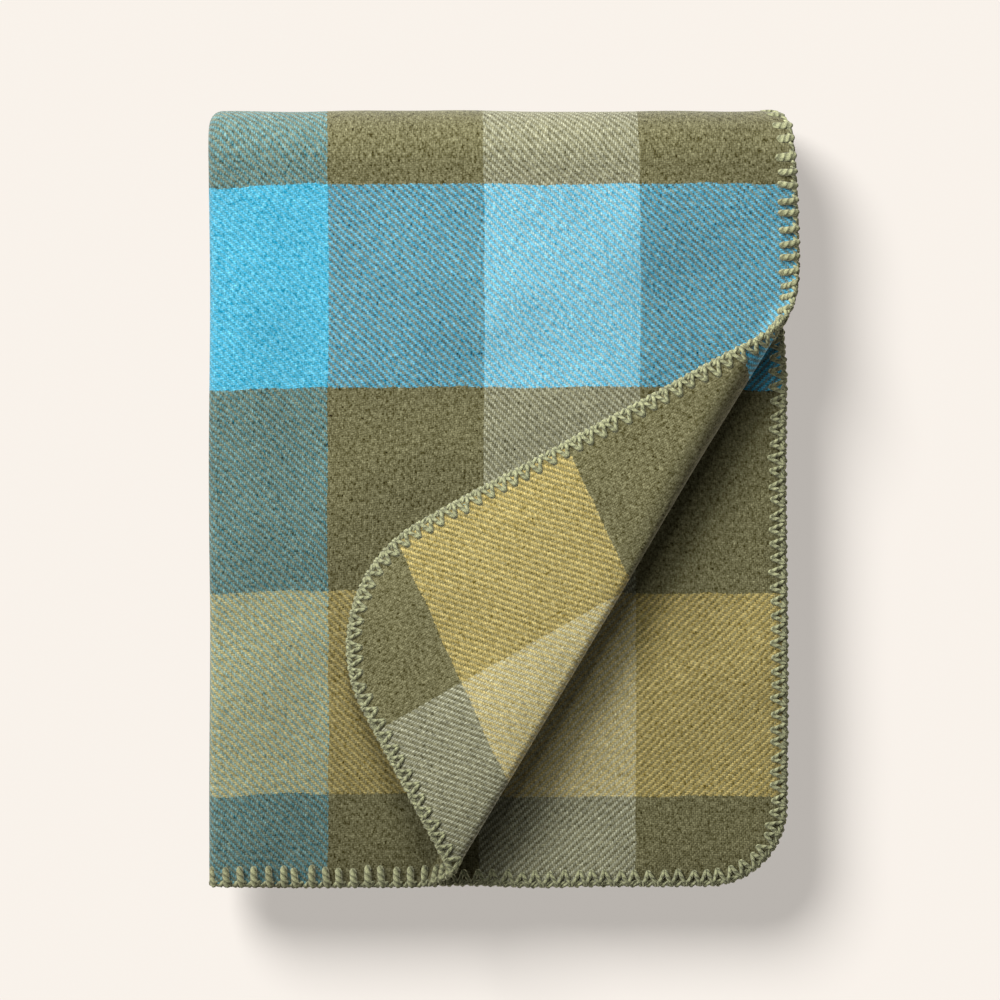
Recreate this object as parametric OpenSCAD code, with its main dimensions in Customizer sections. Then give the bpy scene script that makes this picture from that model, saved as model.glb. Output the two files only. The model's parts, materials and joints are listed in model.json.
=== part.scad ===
// Camp blanket: one woven cloth with a blanket-stitched edging, folded in four across
// its width and then in four along its length, with the top corner turned back.
// X runs across the bundle, Y along it and Z up. The bundle lies on z = 0.
// A quarter is a stretch of the length between end folds, counted from the top of the
// stack. A leaf is a stretch of the width between side folds, counted from the free edge.

/* [Bundle] */
// Width of the folded bundle, from the side folds to the top leaf's free edge
bundle_w = 326; // [260:1:420]
// Length of the folded bundle, from the free ends to the end fold
bundle_l = 430; // [340:1:560]

/* [Cloth] */
// Thickness of the brushed cloth
cloth_t = 3.2; // [2.4:0.1:5]
// Air between two layers
layer_gap = 0.4; // [0.2:0.1:1]
// Radius of the three corners that lie flat
corner_r = 43; // [25:1:80]

/* [Edging] */
// Depth of the stitches, from the rim inwards
edging_d = 10; // [6:0.5:14]
// Width of the yarn rim outside the cloth
edging_rim = 1.5; // [0.8:0.1:3]
// Thickness of the yarn on each face of the cloth
edging_t = 0.7; // [0.4:0.1:0.9]

/* [Layers] */
// Setback of the second leaf's free side edge from the top leaf's
second_setback = 6.6; // [0:0.2:10]
// Setback of every other free side edge, and of both round the end folds
lower_setback = 10; // [0:0.5:20]
// Setback of the right-hand side folds from the top leaf's free side edge
side_fold_setback = 27; // [15:0.5:45]
// Setback of the second quarter's free end from the first's
second_end_setback = 3; // [0:0.5:10]
// Setback of the third and fourth leaves' free ends within a quarter
inner_end_setback = 8; // [0:0.5:15]
// Setback of the lower end fold from the free ends
end_fold_setback = 20; // [2:0.5:40]

/* [Turned corner] */
// Radius of the corner that is turned back, which is rounder than the others
turned_corner_r = 75; // [40:1:90]
// Mid-cloth radius of the roll where the corner turns back
roll_r = 11.4; // [8:0.2:16]
// Distance from the end fold down the side edge to the start of the turn
turn_from_end_fold = 81; // [60:1:120]
// Distance from the side folds along the free end to the start of the turn
turn_from_side_fold = 118; // [60:1:150]
// Air left under the tip of the turned corner
tip_gap = 0.4; // [0.3:0.1:2]

/* [Hidden] */
$fn = 64;
spill = 1;
roll_steps = 24;
leaf_count = 4;
quarter_count = 4;
layer_count = leaf_count * quarter_count;
pitch = cloth_t + layer_gap;
pressed_t = cloth_t - 2 * edging_t;

// Mid-height of a layer counted from the bottom, and the layer of each leaf
function layer_z(layer) = cloth_t / 2 + layer * pitch;
function leaf_layer(quarter, leaf) =
    leaf_count * (quarter_count - quarter) + (quarter % 2 == 1 ? leaf_count - leaf : leaf - 1);
function leaf_z(quarter, leaf) = layer_z(leaf_layer(quarter, leaf));

// End folds: the outer one joins quarters 1 and 4, the inner one 2 and 3, and the lower
// one 3 and 4 at the free ends
end_fold_z = layer_z((layer_count - 1) / 2);
end_fold_r = (layer_count - 1) / 2 * pitch;
end_fold_y = bundle_l / 2 - end_fold_r - cloth_t / 2;
lower_fold_z = layer_z(leaf_count - 0.5);
lower_fold_r = (leaf_count - 0.5) * pitch;
free_end_y = -bundle_l / 2;
lower_fold_y = free_end_y + end_fold_setback + lower_fold_r + cloth_t / 2;

// Side folds: the outer ones join leaves 1 and 4, the inner ones 2 and 3, and the
// right-hand ones 3 and 4
outer_side_r = 1.5 * pitch;
inner_side_r = 0.5 * pitch;
side_fold_x = -bundle_w / 2 + outer_side_r + cloth_t / 2;
free_side_x = bundle_w / 2;
right_fold_x = free_side_x - side_fold_setback - inner_side_r - cloth_t / 2;

// The turn starts on a straight line from the free end up to the side edge. Its own
// frame has Y along that line and X across it, towards the corner.
turn_up = bundle_l - turn_from_end_fold;
turn_in = bundle_w - turn_from_side_fold;
turn_length = sqrt(turn_up * turn_up + turn_in * turn_in);
turn_angle = -atan2(turn_in, turn_up);
across_x = turn_up / turn_length;
across_y = turn_in / turn_length;
turn_z = leaf_z(1, 1);

// The corner's reach past the line, and the tilt at which its tip lies on the top leaf
corner_reach = turn_up * turn_in / turn_length - turned_corner_r * (across_x + across_y - 1);
function flap_tilt(tries, tilt) = tries == 0 ? tilt : flap_tilt(tries - 1,
    asin((roll_r * (1 + cos(tilt)) - cloth_t - tip_gap) / (corner_reach - roll_length(tilt))));
function roll_length(tilt) = roll_r * (180 + tilt) * PI / 180;
tilt = flap_tilt(12, 10);

// Hinge line of the turned corner, as far from the top leaf as from the flap
hinge_s = roll_r;
hinge_z = turn_z + roll_r * (1 + sin(tilt) + cos(tilt)) / (1 + cos(tilt));
flap_open = 180 + tilt;

leaf_names = [for (quarter = [1:quarter_count]) for (leaf = [1:leaf_count]) leaf_name(quarter, leaf)];
leaf_edging_names = [for (quarter = [1:quarter_count]) for (leaf = [1:leaf_count])
    if (quarter <= 2 || leaf <= 2) edging_name(quarter, leaf)];
side_fold_names = [for (quarter = [1:quarter_count])
    for (side = ["outer", "inner", "right"]) fold_name(side, quarter)];

function leaf_name(quarter, leaf) = str("leaf_", quarter, "_", leaf);
function edging_name(quarter, leaf) = str("edging_", quarter, "_", leaf);
function fold_name(side, quarter) = str(side, "_side_fold_", quarter);

// Where each leaf ends at the side, at the end folds and along its quarter, and where
// it ends at the lower end. Its side edge slants from one to the other past the turn.
slant_y = free_end_y + turn_up;
function fold_side_x(leaf) = leaf <= 2 ? free_side_x - lower_setback : right_fold_x;
function leaf_side_x(quarter, leaf) = quarter > 1 || leaf > 2 ? fold_side_x(leaf)
    : free_side_x - (leaf == 2 ? second_setback : 0);
function leaf_end_y(quarter, leaf) = quarter > 2 ? lower_fold_y
    : free_end_y + (quarter == 2 ? second_end_setback : 0) + (leaf > 2 ? inner_end_setback : 0);

module cloth_colour() color([0.42, 0.56, 0.55]) children();
module edging_colour() color([0.56, 0.57, 0.38]) children();

// Flat outline of a leaf, drawn back from its free edges and carried past its folds
module leaf_outline(quarter, leaf, back, past) {
    free_side = leaf <= 2;
    free_end = quarter <= 2;
    side_move = free_side ? -back : past;
    left = side_fold_x - past;
    right = leaf_side_x(quarter, leaf) + side_move;
    fold_right = fold_side_x(leaf) + side_move;
    bottom = leaf_end_y(quarter, leaf) + (free_end ? back : -past);
    r = (quarter == 1 && leaf == 1 ? turned_corner_r : corner_r) - back;
    difference() {
        polygon([[left, bottom], [right, bottom], [right, slant_y], [fold_right, end_fold_y],
            [fold_right, end_fold_y + past], [left, end_fold_y + past]]);
        if (free_side && free_end) difference() {
            translate([right - r, bottom - spill]) square([r + spill, r + spill]);
            translate([right - r, bottom + r]) circle(r);
        }
    }
}

// A leaf of cloth, thinned where the stitches press it
module leaf_cloth(quarter, leaf) {
    linear_extrude(height = cloth_t, center = true) leaf_outline(quarter, leaf, edging_d, 0);
    linear_extrude(height = pressed_t, center = true) leaf_outline(quarter, leaf, edging_rim, 0);
}

// The yarn edging along a leaf's free edges, open where the cloth enters it
module leaf_edging(quarter, leaf) difference() {
    linear_extrude(height = cloth_t, center = true) leaf_outline(quarter, leaf, 0, 0);
    linear_extrude(height = cloth_t + spill, center = true)
        leaf_outline(quarter, leaf, edging_d, spill);
    linear_extrude(height = pressed_t, center = true)
        leaf_outline(quarter, leaf, edging_rim, spill);
}

// Places children, drawn flat in the blanket's plane, in the turn's own frame and back
module to_turn_frame() rotate(-turn_angle)
    translate([turn_in - free_side_x, -free_end_y]) children();
module from_turn_frame() translate([free_side_x - turn_in, free_end_y]) rotate(turn_angle)
    children();

// Everything past a distance from the turn's start, or everything before it
module past_turn(distance) translate([distance, -bundle_l, -cloth_t])
    cube([bundle_l, 3 * bundle_l, 2 * cloth_t]);
module before_turn() translate([-2 * bundle_l, -bundle_l, -cloth_t])
    cube([2 * bundle_l, 3 * bundle_l, 2 * cloth_t]);

// The part of the top leaf that lies flat, and the part that is turned over
module lying_part() translate([0, 0, turn_z]) intersection() {
    children();
    from_turn_frame() before_turn();
}
module turned_part() from_turn_frame()
    translate([-roll_r * sin(tilt), 0, turn_z + roll_r * (1 + cos(tilt))])
    rotate([0, 180 - tilt, 0]) translate([-roll_length(tilt), 0, 0]) intersection() {
        to_turn_frame() children();
        past_turn(roll_length(tilt));
    }

// Distance along the turn line of the side edge and of the end edge, at a distance past
// the line, drawn back from the rim
function side_edge_at(past, back) = (turn_in - back - past * across_x) / across_y;
function end_edge_at(past, back) = (back + past * across_y) / across_x;

// One point of the roll: past is the length of cloth since the turn's start
function roll_point(past, along, lift) =
    let (angle = past / roll_r * 180 / PI)
    [(roll_r + lift) * sin(angle), along, roll_r - (roll_r + lift) * cos(angle)];

// A band of cloth carried round the roll, between two edges that are functions of past.
// Each edge is [1, back] for the side edge or [0, back] for the end edge.
function edge_at(edge, past) =
    edge[0] == 1 ? side_edge_at(past, edge[1]) : end_edge_at(past, edge[1]);
module rolled_band(low, high) {
    points = [for (i = [0:roll_steps]) let (past = i * roll_length(tilt) / roll_steps) each [
        roll_point(past, edge_at(low, past), cloth_t / 2),
        roll_point(past, edge_at(high, past), cloth_t / 2),
        roll_point(past, edge_at(high, past), -cloth_t / 2),
        roll_point(past, edge_at(low, past), -cloth_t / 2)]];
    // The low edge's faces are split the other way, so that they match a high edge's
    sides = [for (i = [0:roll_steps - 1]) for (k = [0:3]) let (
        a = 4 * i + k, b = 4 * i + (k + 1) % 4, c = a + 4, d = b + 4)
        each k < 3 ? [[a, b, c], [b, d, c]] : [[a, b, d], [a, d, c]]];
    last = 4 * roll_steps;
    ends = [[0, 3, 2, 1], [last, last + 1, last + 2, last + 3]];
    translate([0, 0, turn_z]) from_turn_frame()
        polyhedron(points = points, faces = concat(sides, ends), convexity = 4);
}

// Carries a flat outline, drawn as height by X, along Y or round an end fold
module along_y(from, to) translate([0, from, 0]) rotate([-90, -90, 0])
    linear_extrude(height = to - from) children();
module round_upper_fold() translate([0, end_fold_y, end_fold_z]) rotate([0, 90, 0])
    rotate_extrude(angle = 180) children();
module round_lower_fold() translate([0, lower_fold_y, lower_fold_z]) rotate([180, 0, 0])
    rotate([0, 90, 0]) rotate_extrude(angle = 180) children();

// Half ring that joins two leaves at a side fold. side is -1 on the left and 1 on the right.
module fold_outline(height, x, r, thickness, side) difference() {
    translate([height, x]) circle(r + thickness / 2);
    translate([height, x]) circle(r - thickness / 2);
    translate([height - r - thickness, side > 0 ? x - r - thickness : x])
        square([2 * (r + thickness), r + thickness]);
}

// The three kinds of side fold, round the mid-height of the leaves they join
module side_fold_outline(side, middle, upward, thickness) {
    if (side == "outer") fold_outline(middle, side_fold_x, outer_side_r, thickness, -1);
    if (side == "inner") fold_outline(middle, side_fold_x, inner_side_r, thickness, -1);
    if (side == "right")
        fold_outline(middle + upward * pitch, right_fold_x, inner_side_r, thickness, 1);
}
function quarter_middle(quarter) = (leaf_z(quarter, 1) + leaf_z(quarter, leaf_count)) / 2;
function quarter_upward(quarter) = quarter % 2 == 1 ? -1 : 1;

// A side fold's free end is level with leaf 4 on the right and with leaf 1 on the left
function fold_end_y(side, quarter) = leaf_end_y(quarter, side == "right" ? leaf_count : 1);

// A side fold along one quarter, thinned at a free end where the stitches press it
module side_fold(side, quarter) {
    free_end = quarter <= 2;
    start = fold_end_y(side, quarter);
    along_y(start + (free_end ? edging_d : 0), end_fold_y)
        side_fold_outline(side, quarter_middle(quarter), quarter_upward(quarter), cloth_t);
    if (free_end) along_y(start + edging_rim, start + edging_d)
        side_fold_outline(side, quarter_middle(quarter), quarter_upward(quarter), pressed_t);
}

// The edging round the end of a quarter's side folds
module side_fold_edging(quarter) for (side = ["outer", "inner", "right"]) difference() {
    start = fold_end_y(side, quarter);
    along_y(start, start + edging_d)
        side_fold_outline(side, quarter_middle(quarter), quarter_upward(quarter), cloth_t);
    along_y(start + edging_rim, start + edging_d + spill)
        side_fold_outline(side, quarter_middle(quarter), quarter_upward(quarter), pressed_t);
}

// Height by X outline of the folded strip, for carrying round an end fold. first is the
// height of leaf 1 and step the height from each leaf to the next.
module strip_outline(first, step) {
    for (leaf = [1:leaf_count]) {
        height = first + step * (leaf - 1);
        cloth_x = fold_side_x(leaf) - (leaf <= 2 ? edging_d : 0);
        pressed_x = fold_side_x(leaf) - (leaf <= 2 ? edging_rim : 0);
        translate([height - cloth_t / 2, side_fold_x]) square([cloth_t, cloth_x - side_fold_x]);
        translate([height - pressed_t / 2, side_fold_x])
            square([pressed_t, pressed_x - side_fold_x]);
    }
    for (side = ["outer", "inner", "right"])
        side_fold_outline(side, first + 1.5 * step, sign(step), cloth_t);
}

// Height by X outline of the edging on the two free side edges
module strip_edging_outline(first, step) for (leaf = [1:2]) difference() {
    height = first + step * (leaf - 1);
    translate([height - cloth_t / 2, fold_side_x(leaf) - edging_d]) square([cloth_t, edging_d]);
    translate([height - pressed_t / 2, fold_side_x(leaf) - edging_d - spill])
        square([pressed_t, edging_d + spill - edging_rim]);
}

module leaf(quarter, leaf) cloth_colour() {
    if (quarter == 1 && leaf == 1) lying_part() leaf_cloth(quarter, leaf);
    else translate([0, 0, leaf_z(quarter, leaf)]) leaf_cloth(quarter, leaf);
}
module edging(quarter, leaf) edging_colour() {
    if (quarter == 1 && leaf == 1) lying_part() leaf_edging(quarter, leaf);
    else translate([0, 0, leaf_z(quarter, leaf)]) leaf_edging(quarter, leaf);
}
module outer_end_fold() cloth_colour() round_upper_fold() strip_outline(end_fold_r, -pitch);
module inner_end_fold() cloth_colour() round_upper_fold() strip_outline(inner_side_r, pitch);
module lower_end_fold() cloth_colour() round_lower_fold() strip_outline(lower_fold_r, -pitch);
module outer_end_fold_edging() edging_colour()
    round_upper_fold() strip_edging_outline(end_fold_r, -pitch);
module inner_end_fold_edging() edging_colour()
    round_upper_fold() strip_edging_outline(inner_side_r, pitch);
module lower_end_fold_edging() edging_colour()
    round_lower_fold() strip_edging_outline(lower_fold_r, -pitch);
module turned_roll() cloth_colour() rolled_band([0, edging_d], [1, edging_d]);
module turned_roll_edging() edging_colour() {
    rolled_band([0, 0], [0, edging_d]);
    rolled_band([1, edging_d], [1, 0]);
}
module turned_corner() cloth_colour() turned_part() leaf_cloth(1, 1);
module turned_corner_edging() edging_colour() turned_part() leaf_edging(1, 1);

for (quarter = [1:quarter_count]) {
    for (leaf = [1:leaf_count]) {
        leaf(quarter, leaf);
        if (quarter <= 2 || leaf <= 2)
            edging(quarter, leaf);
    }
    for (side = ["outer", "inner", "right"])
        cloth_colour() side_fold(side, quarter);
}
for (quarter = [1:2])
    edging_colour() side_fold_edging(quarter);
outer_end_fold();
inner_end_fold();
lower_end_fold();
outer_end_fold_edging();
inner_end_fold_edging();
lower_end_fold_edging();
turned_roll();
turned_roll_edging();
turned_corner();
turned_corner_edging();
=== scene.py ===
import json
import math

import bmesh
import bpy
import numpy as np
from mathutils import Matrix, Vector


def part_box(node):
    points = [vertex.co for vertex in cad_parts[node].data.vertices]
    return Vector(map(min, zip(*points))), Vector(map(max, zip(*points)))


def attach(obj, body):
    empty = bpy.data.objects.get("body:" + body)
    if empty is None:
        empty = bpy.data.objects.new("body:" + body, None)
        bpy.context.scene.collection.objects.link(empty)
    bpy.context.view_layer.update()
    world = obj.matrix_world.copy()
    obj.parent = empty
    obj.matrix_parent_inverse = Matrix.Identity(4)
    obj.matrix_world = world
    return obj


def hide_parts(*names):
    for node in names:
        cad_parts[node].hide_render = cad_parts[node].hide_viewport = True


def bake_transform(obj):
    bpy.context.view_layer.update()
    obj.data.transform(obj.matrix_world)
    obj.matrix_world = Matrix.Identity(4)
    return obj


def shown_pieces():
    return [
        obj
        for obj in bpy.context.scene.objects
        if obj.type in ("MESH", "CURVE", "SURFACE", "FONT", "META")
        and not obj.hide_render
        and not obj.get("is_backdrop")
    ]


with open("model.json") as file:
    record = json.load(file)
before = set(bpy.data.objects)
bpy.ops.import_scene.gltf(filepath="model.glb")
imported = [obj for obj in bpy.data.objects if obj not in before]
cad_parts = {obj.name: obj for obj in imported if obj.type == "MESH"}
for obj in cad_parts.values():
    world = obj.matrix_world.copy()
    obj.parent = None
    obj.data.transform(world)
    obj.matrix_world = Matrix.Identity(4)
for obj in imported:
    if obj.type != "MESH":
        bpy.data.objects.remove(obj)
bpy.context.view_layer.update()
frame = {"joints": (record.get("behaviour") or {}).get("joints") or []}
print("frame loaded")

scene = bpy.context.scene
scene.view_settings.view_transform = "Standard"

# Places and sizes, all read from the frame


def jointNamed(name):
    return next(j for j in frame["joints"] if j["name"] == name)


def low(node, axis):
    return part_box(node)[0][axis]


def high(node, axis):
    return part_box(node)[1][axis]


clothT = high("leaf_1_2", 2) - low("leaf_1_2", 2)
pitch = low("leaf_1_2", 2) - low("leaf_1_3", 2)
outerR = 1.5 * pitch  # side folds: leaves 1 to 4, and leaves 2 to 3
innerR = 0.5 * pitch
bigR = 6 * pitch  # end folds: quarters 1 to 4, and the two inner ones
smallR = 2 * pitch
freeSideX = high("edging_1_1", 0)
secondSideX = high("edging_1_2", 0)
lowerSideX = high("edging_4_1", 0)
sideFoldX = low("leaf_1_2", 0)
rightFoldX = high("leaf_1_3", 0)
freeEndY = low("edging_1_1", 1)
secondEndY = low("edging_2_1", 1)
endFoldY = high("leaf_1_2", 1)
lowerFoldY = low("leaf_4_3", 1)
topZ = low("leaf_1_2", 2) + clothT / 2 + pitch  # mid-cloth of the top leaf
midZ = {1: topZ - outerR, 4: clothT / 2 + outerR}
foldZ = (midZ[1] + midZ[4]) / 2
lowerZ = midZ[4] + smallR

turn = jointNamed("corner_turn")
rollR = (high("turned_roll", 2) - low("turned_roll", 2) - clothT) / 2
alongTurn = np.array(turn["axis"][:2])
acrossTurn = np.array([alongTurn[1], -alongTurn[0]])
turnStart = np.array(turn["pos_m"][:2]) - rollR * acrossTurn

# Stops along the cloth's width (u, from the top leaf's free edge) and length (v)
widthStops = np.cumsum([0, freeSideX - sideFoldX, math.pi * outerR, rightFoldX - sideFoldX,
                        math.pi * innerR, rightFoldX - sideFoldX, math.pi * innerR,
                        secondSideX - sideFoldX])
lengthStops = np.cumsum([0, endFoldY - freeEndY, math.pi * bigR, endFoldY - lowerFoldY,
                         math.pi * smallR, endFoldY - lowerFoldY, math.pi * smallR,
                         endFoldY - secondEndY])
clothW = widthStops[-1]
clothL = lengthStops[-1]
print(f"open cloth {clothW:.3f} x {clothL:.3f} m")

# Metres, and linear colours. Pitches are from yarn to yarn.
cloth = {
    "stripeW": 0.0867, "stripeL": 0.1127, "firstStripeL": 0.0505,
    "warpPitch": 0.00111, "weftPitch": 0.00103,
    "cornerR": 0.043, "turnedCornerR": 0.075,
    "edgeThin": 0.52, "edgeDepth": 0.010,  # the stitches press the edge thin
    "tuck": 0.10, "foldDrop": 0.085, "foldDropReach": 0.015, "ripple": 0.0011,
    "tipLift": 0.0006, "rollPress": (0.96, 0.96, 0.94), "rollLean": (1, 0.6, 0),
    "pullU": 0.050, "pullV": 0.075,  # how far the turned corner is pulled out of square
    "mirrorShift": 0.004, "mirrorDrop": -0.002, "foldDip": 0.0022,
    "olive": (0.160, 0.149, 0.070), "light": (0.445, 0.45, 0.32),
    "blueWarp": (0.108, 0.35, 0.41), "blueWeft": (0.085, 0.55, 0.83),
    "gold": (0.54, 0.425, 0.140), "backLift": 1.14, "oliveCover": 0.18,
    "warpWidth": 0.86, "roughness": 0.92, "sheen": 0.40, "fleck": 0.35,
}
edging = {
    "pitch": 0.0079, "depth": 0.0088, "barR": 0.00195, "legR": 0.00122, "legDepth": 0.86,
    "rimR": 0.00108, "rimTurnR": 0.00090, "rimOut": -0.0004, "hidden": 0.5,
    "colour": (0.39, 0.40, 0.22), "twist": 0.0068,
}


def smooth(x):
    x = np.clip(x, 0, 1)
    return x * x * (3 - 2 * x)


def ripples(x, y, seed, longest=0.19, shortest=0.06, count=7):
    # Smooth seeded unevenness between about -1 and 1
    rng = np.random.default_rng(seed)
    total = 0
    for _ in range(count):
        wave = rng.uniform(shortest, longest)
        turnBy = rng.uniform(0, 2 * math.pi)
        along = (x * math.cos(turnBy) + y * math.sin(turnBy)) / wave
        total = total + np.sin(2 * math.pi * along + rng.uniform(0, 2 * math.pi))
    return total / count * 1.6


# How far the crease reaches each way from its joint, to the side edge and to the end
turnSide = (freeSideX - turnStart[0]) / alongTurn[0]
turnEnd = (turnStart[1] - freeEndY) / alongTurn[1]
turnStopV = turnStart[1] + turnSide * alongTurn[1] - freeEndY

# How far in the two free side edges lie, along the cloth's length
crestV = (lengthStops[1] + lengthStops[2]) / 2
freeEdgeShift = ([0, turnStopV + 0.004, lengthStops[1] - 0.02, lengthStops[1],
                  lengthStops[1] + 0.018, crestV, lengthStops[2], lengthStops[2] + 0.05],
                 [0, 0, 0.0006, 0.0014, 0.0032, 0.0125, 0.017, freeSideX - lowerSideX])
secondEdgeShift = ([0, lengthStops[1] - 0.12, lengthStops[1], crestV, lengthStops[2] + 0.03],
                   [0, 0, 0.009, 0.020, 0.010])
edgeShiftReach = 0.05  # how far into the cloth the shift fades


# Folding: a point of the flat cloth (u, v, h above the face) goes to its place


def foldAcross(u, h, v):
    # x, and the height over the quarter's middle, of the width's folds
    k = np.clip(np.searchsorted(widthStops, u, side="right") - 1, 0, 6)
    s = u - widthStops[k]
    shift = np.interp(v, *freeEdgeShift) * np.exp(-np.maximum(u, 0) / edgeShiftReach)
    fade = np.exp(-np.maximum(clothW - u, 0) / edgeShiftReach)
    secondShift = np.interp(v, *secondEdgeShift) * fade
    a1, a2 = s / outerR, s / innerR
    xs = [freeSideX - s - shift, sideFoldX - (outerR + h) * np.sin(a1), sideFoldX + s,
          rightFoldX + (innerR + h) * np.sin(a2), rightFoldX - s,
          sideFoldX - (innerR - h) * np.sin(a2), sideFoldX + s - secondShift]
    levels = [outerR + h, (outerR + h) * np.cos(a1), -outerR - h,
              -pitch - (innerR + h) * np.cos(a2), -innerR + h,
              -(innerR - h) * np.cos(a2), innerR - h]
    return np.choose(k, xs), np.choose(k, levels)


def foldAlong(v, level):
    k = np.clip(np.searchsorted(lengthStops, v, side="right") - 1, 0, 6)
    s = v - lengthStops[k]
    a1, a2 = s / bigR, s / smallR
    ys = [freeEndY + s, endFoldY + (bigR + level) * np.sin(a1), endFoldY - s,
          lowerFoldY - (smallR + level) * np.sin(a2), lowerFoldY + s,
          endFoldY + (smallR - level) * np.sin(a2), endFoldY - s]
    zs = [midZ[1] + level, foldZ + (bigR + level) * np.cos(a1), foldZ - bigR - level,
          lowerZ - (smallR + level) * np.cos(a2), lowerZ + smallR + level,
          foldZ - (smallR - level) * np.cos(a2), foldZ + smallR - level]
    return np.choose(k, ys), np.choose(k, zs)


# The angle of a roll that leans out and folds back sharply, by its share of the roll's cloth
leanShares = [0, 0.05, 0.25, 0.56, 0.66, 0.70, 0.75, 1]
leanDegrees = [0, 42, 62, 74, 84, 120, 180, 180]


def cornerProfile(slope, lean):
    # The turned corner seen along its crease: across, up and angle at each step of cloth.
    # lean goes from a round roll, 0, to one that leans out and folds back sharply, 1.
    step = 0.0002
    past = np.arange(0, 0.20, step)
    arc = math.pi * rollR
    part = np.clip(past / arc, 0, 1)
    leaning = np.radians(np.interp(part, leanShares, leanDegrees))
    angle = (1 - lean) * math.pi * part + lean * leaning
    sag = np.clip((past - arc) / (cornerReach - arc), 0, 1)
    angle = np.where(past > arc, math.pi + slope * (0.40 + 1.2 * sag), angle)
    soft = np.ones(15) / 15  # no sudden change of bend
    angle = np.convolve(np.pad(angle, 7, mode="edge"), soft, mode="valid")
    across = np.concatenate([[0], np.cumsum(np.cos(angle[:-1]) * step)])
    up = np.concatenate([[0], np.cumsum(np.sin(angle[:-1]) * step)])
    across -= part * np.interp(arc, past, across)
    up += part * (2 * rollR - np.interp(arc, past, up))
    return past, across, up, angle


# The corner's farthest cloth past the crease, and the slope at which its tip lies down
cornerReach = ((turnSide + turnEnd) * alongTurn[0] * alongTurn[1]
               - cloth["turnedCornerR"] * (alongTurn.sum() - 1))
lowSlope, highSlope = 0.0, 0.6
for _ in range(30):
    slope = (lowSlope + highSlope) / 2
    past, _, up, _ = cornerProfile(slope, 0)
    if np.interp(cornerReach, past, up) > clothT + cloth["tipLift"]:
        lowSlope = slope
    else:
        highSlope = slope
roundRoll, leanRoll = cornerProfile(slope, 0), cornerProfile(slope, 1)
print(f"corner reach {cornerReach:.3f} m, slope {math.degrees(slope):.1f} deg")


def pastTurn(x, y):
    return (x - turnStart[0]) * acrossTurn[0] + (y - turnStart[1]) * acrossTurn[1]


def flatTopLeaf(u, v):
    return freeSideX - u, freeEndY + v


def tuckUnder(u, v, x, y):
    # The layers between the two visible ones keep clear of the second one's round corner
    top = (v < lengthStops[1]) & ((u < widthStops[1]) | (u > widthStops[6]))
    cx, cy = secondSideX - cloth["cornerR"], freeEndY + cloth["cornerR"]
    p, q = x - cx, cy - y
    q = np.where(top | (q < 0), q, q * (1 - cloth["tuck"] * smooth((x - sideFoldX - 0.02) / 0.1)))
    corner = ~top & (p > 0) & (q > 0)
    scale = np.where(corner, np.maximum(p, q) / np.maximum(np.hypot(p, q), 1e-9), 1)
    return np.where(corner, cx + p * scale, x), cy - q * scale


def foldCloth(u, v, h, turned=False):
    # Row-frame points, n by 3. turned carries the top leaf's corner round its crease.
    u, v, h = (np.asarray(a, float) for a in (u, v, h))
    x, level = foldAcross(u, h, v)
    y, z = foldAlong(v, level)
    x, y = tuckUnder(u, v, x, y)
    if turned:
        px, py = flatTopLeaf(u, v)
        s = pastTurn(px, py)
        along = (px - turnStart[0]) * alongTurn[0] + (py - turnStart[1]) * alongTurn[1]
        inside = np.maximum(s, 0)
        lean = np.interp(along, [-0.02, 0.03, 0.10], cloth["rollLean"])
        press = np.interp(along, [-turnEnd, -0.08, 0], cloth["rollPress"])
        across, rise, bend = (
            (1 - lean) * np.interp(inside, roundRoll[0], roundRoll[k])
            + lean * np.interp(inside, leanRoll[0], leanRoll[k]) for k in (1, 2, 3))
        a = across - h * np.sin(bend) + np.minimum(s, 0)
        resting = clothT + cloth["tipLift"]  # no lower than lying on the leaf below
        rise = np.minimum(rise, resting) + np.maximum(rise - resting, 0) * press
        rise = rise + h * np.cos(bend)
        x = turnStart[0] + a * acrossTurn[0] + along * alongTurn[0]
        y = turnStart[1] + a * acrossTurn[1] + along * alongTurn[1]
        z = topZ + rise
    size = cloth["ripple"]
    # The end fold stays true along its axis, so that its two halves still meet when opened
    uneven = 1 - np.exp(-((y - endFoldY) / 0.012) ** 2)
    fixedZ = foldZ * smooth((y - endFoldY + 0.03) / 0.03)
    x = x + size * 0.6 * ripples(z * 3, y, 5)
    y = y + size * 0.6 * ripples(x, z * 3, 6) * uneven
    fromFold = (x - sideFoldX + outerR) / cloth["foldDropReach"]
    drop = cloth["foldDrop"] * np.exp(-fromFold ** 2)
    z = z + (z - fixedZ) * (size / topZ * ripples(x, y, 7) - drop)
    return np.stack([x, y, z], 1)


# The cloth's flat outline


def cornerRadius(u, v):
    turned = (u < clothW / 2) & (v < clothL / 2)
    return np.where(turned, cloth["turnedCornerR"], cloth["cornerR"])


def roundCorners(u, v):
    # Moves a square grid's points so that its outline has the cloth's round corners
    r = cornerRadius(u, v)
    cu = np.where(u < clothW / 2, r, clothW - r)
    cv = np.where(v < clothL / 2, r, clothL - r)
    p = np.where(u < clothW / 2, cu - u, u - cu)
    q = np.where(v < clothL / 2, cv - v, v - cv)
    corner = (p > 0) & (q > 0)
    scale = np.where(corner, np.maximum(p, q) / np.maximum(np.hypot(p, q), 1e-9), 1)
    return np.where(corner, cu + (u - cu) * scale, u), np.where(corner, cv + (v - cv) * scale, v)


def edgeDistance(u, v):
    # How far inside the cloth's outline a flat point lies
    r = cornerRadius(u, v)
    du = np.minimum(u, clothW - u)
    dv = np.minimum(v, clothL - v)
    corner = (du < r) & (dv < r)
    return np.where(corner, r - np.hypot(r - du, r - dv), np.minimum(du, dv))


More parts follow.
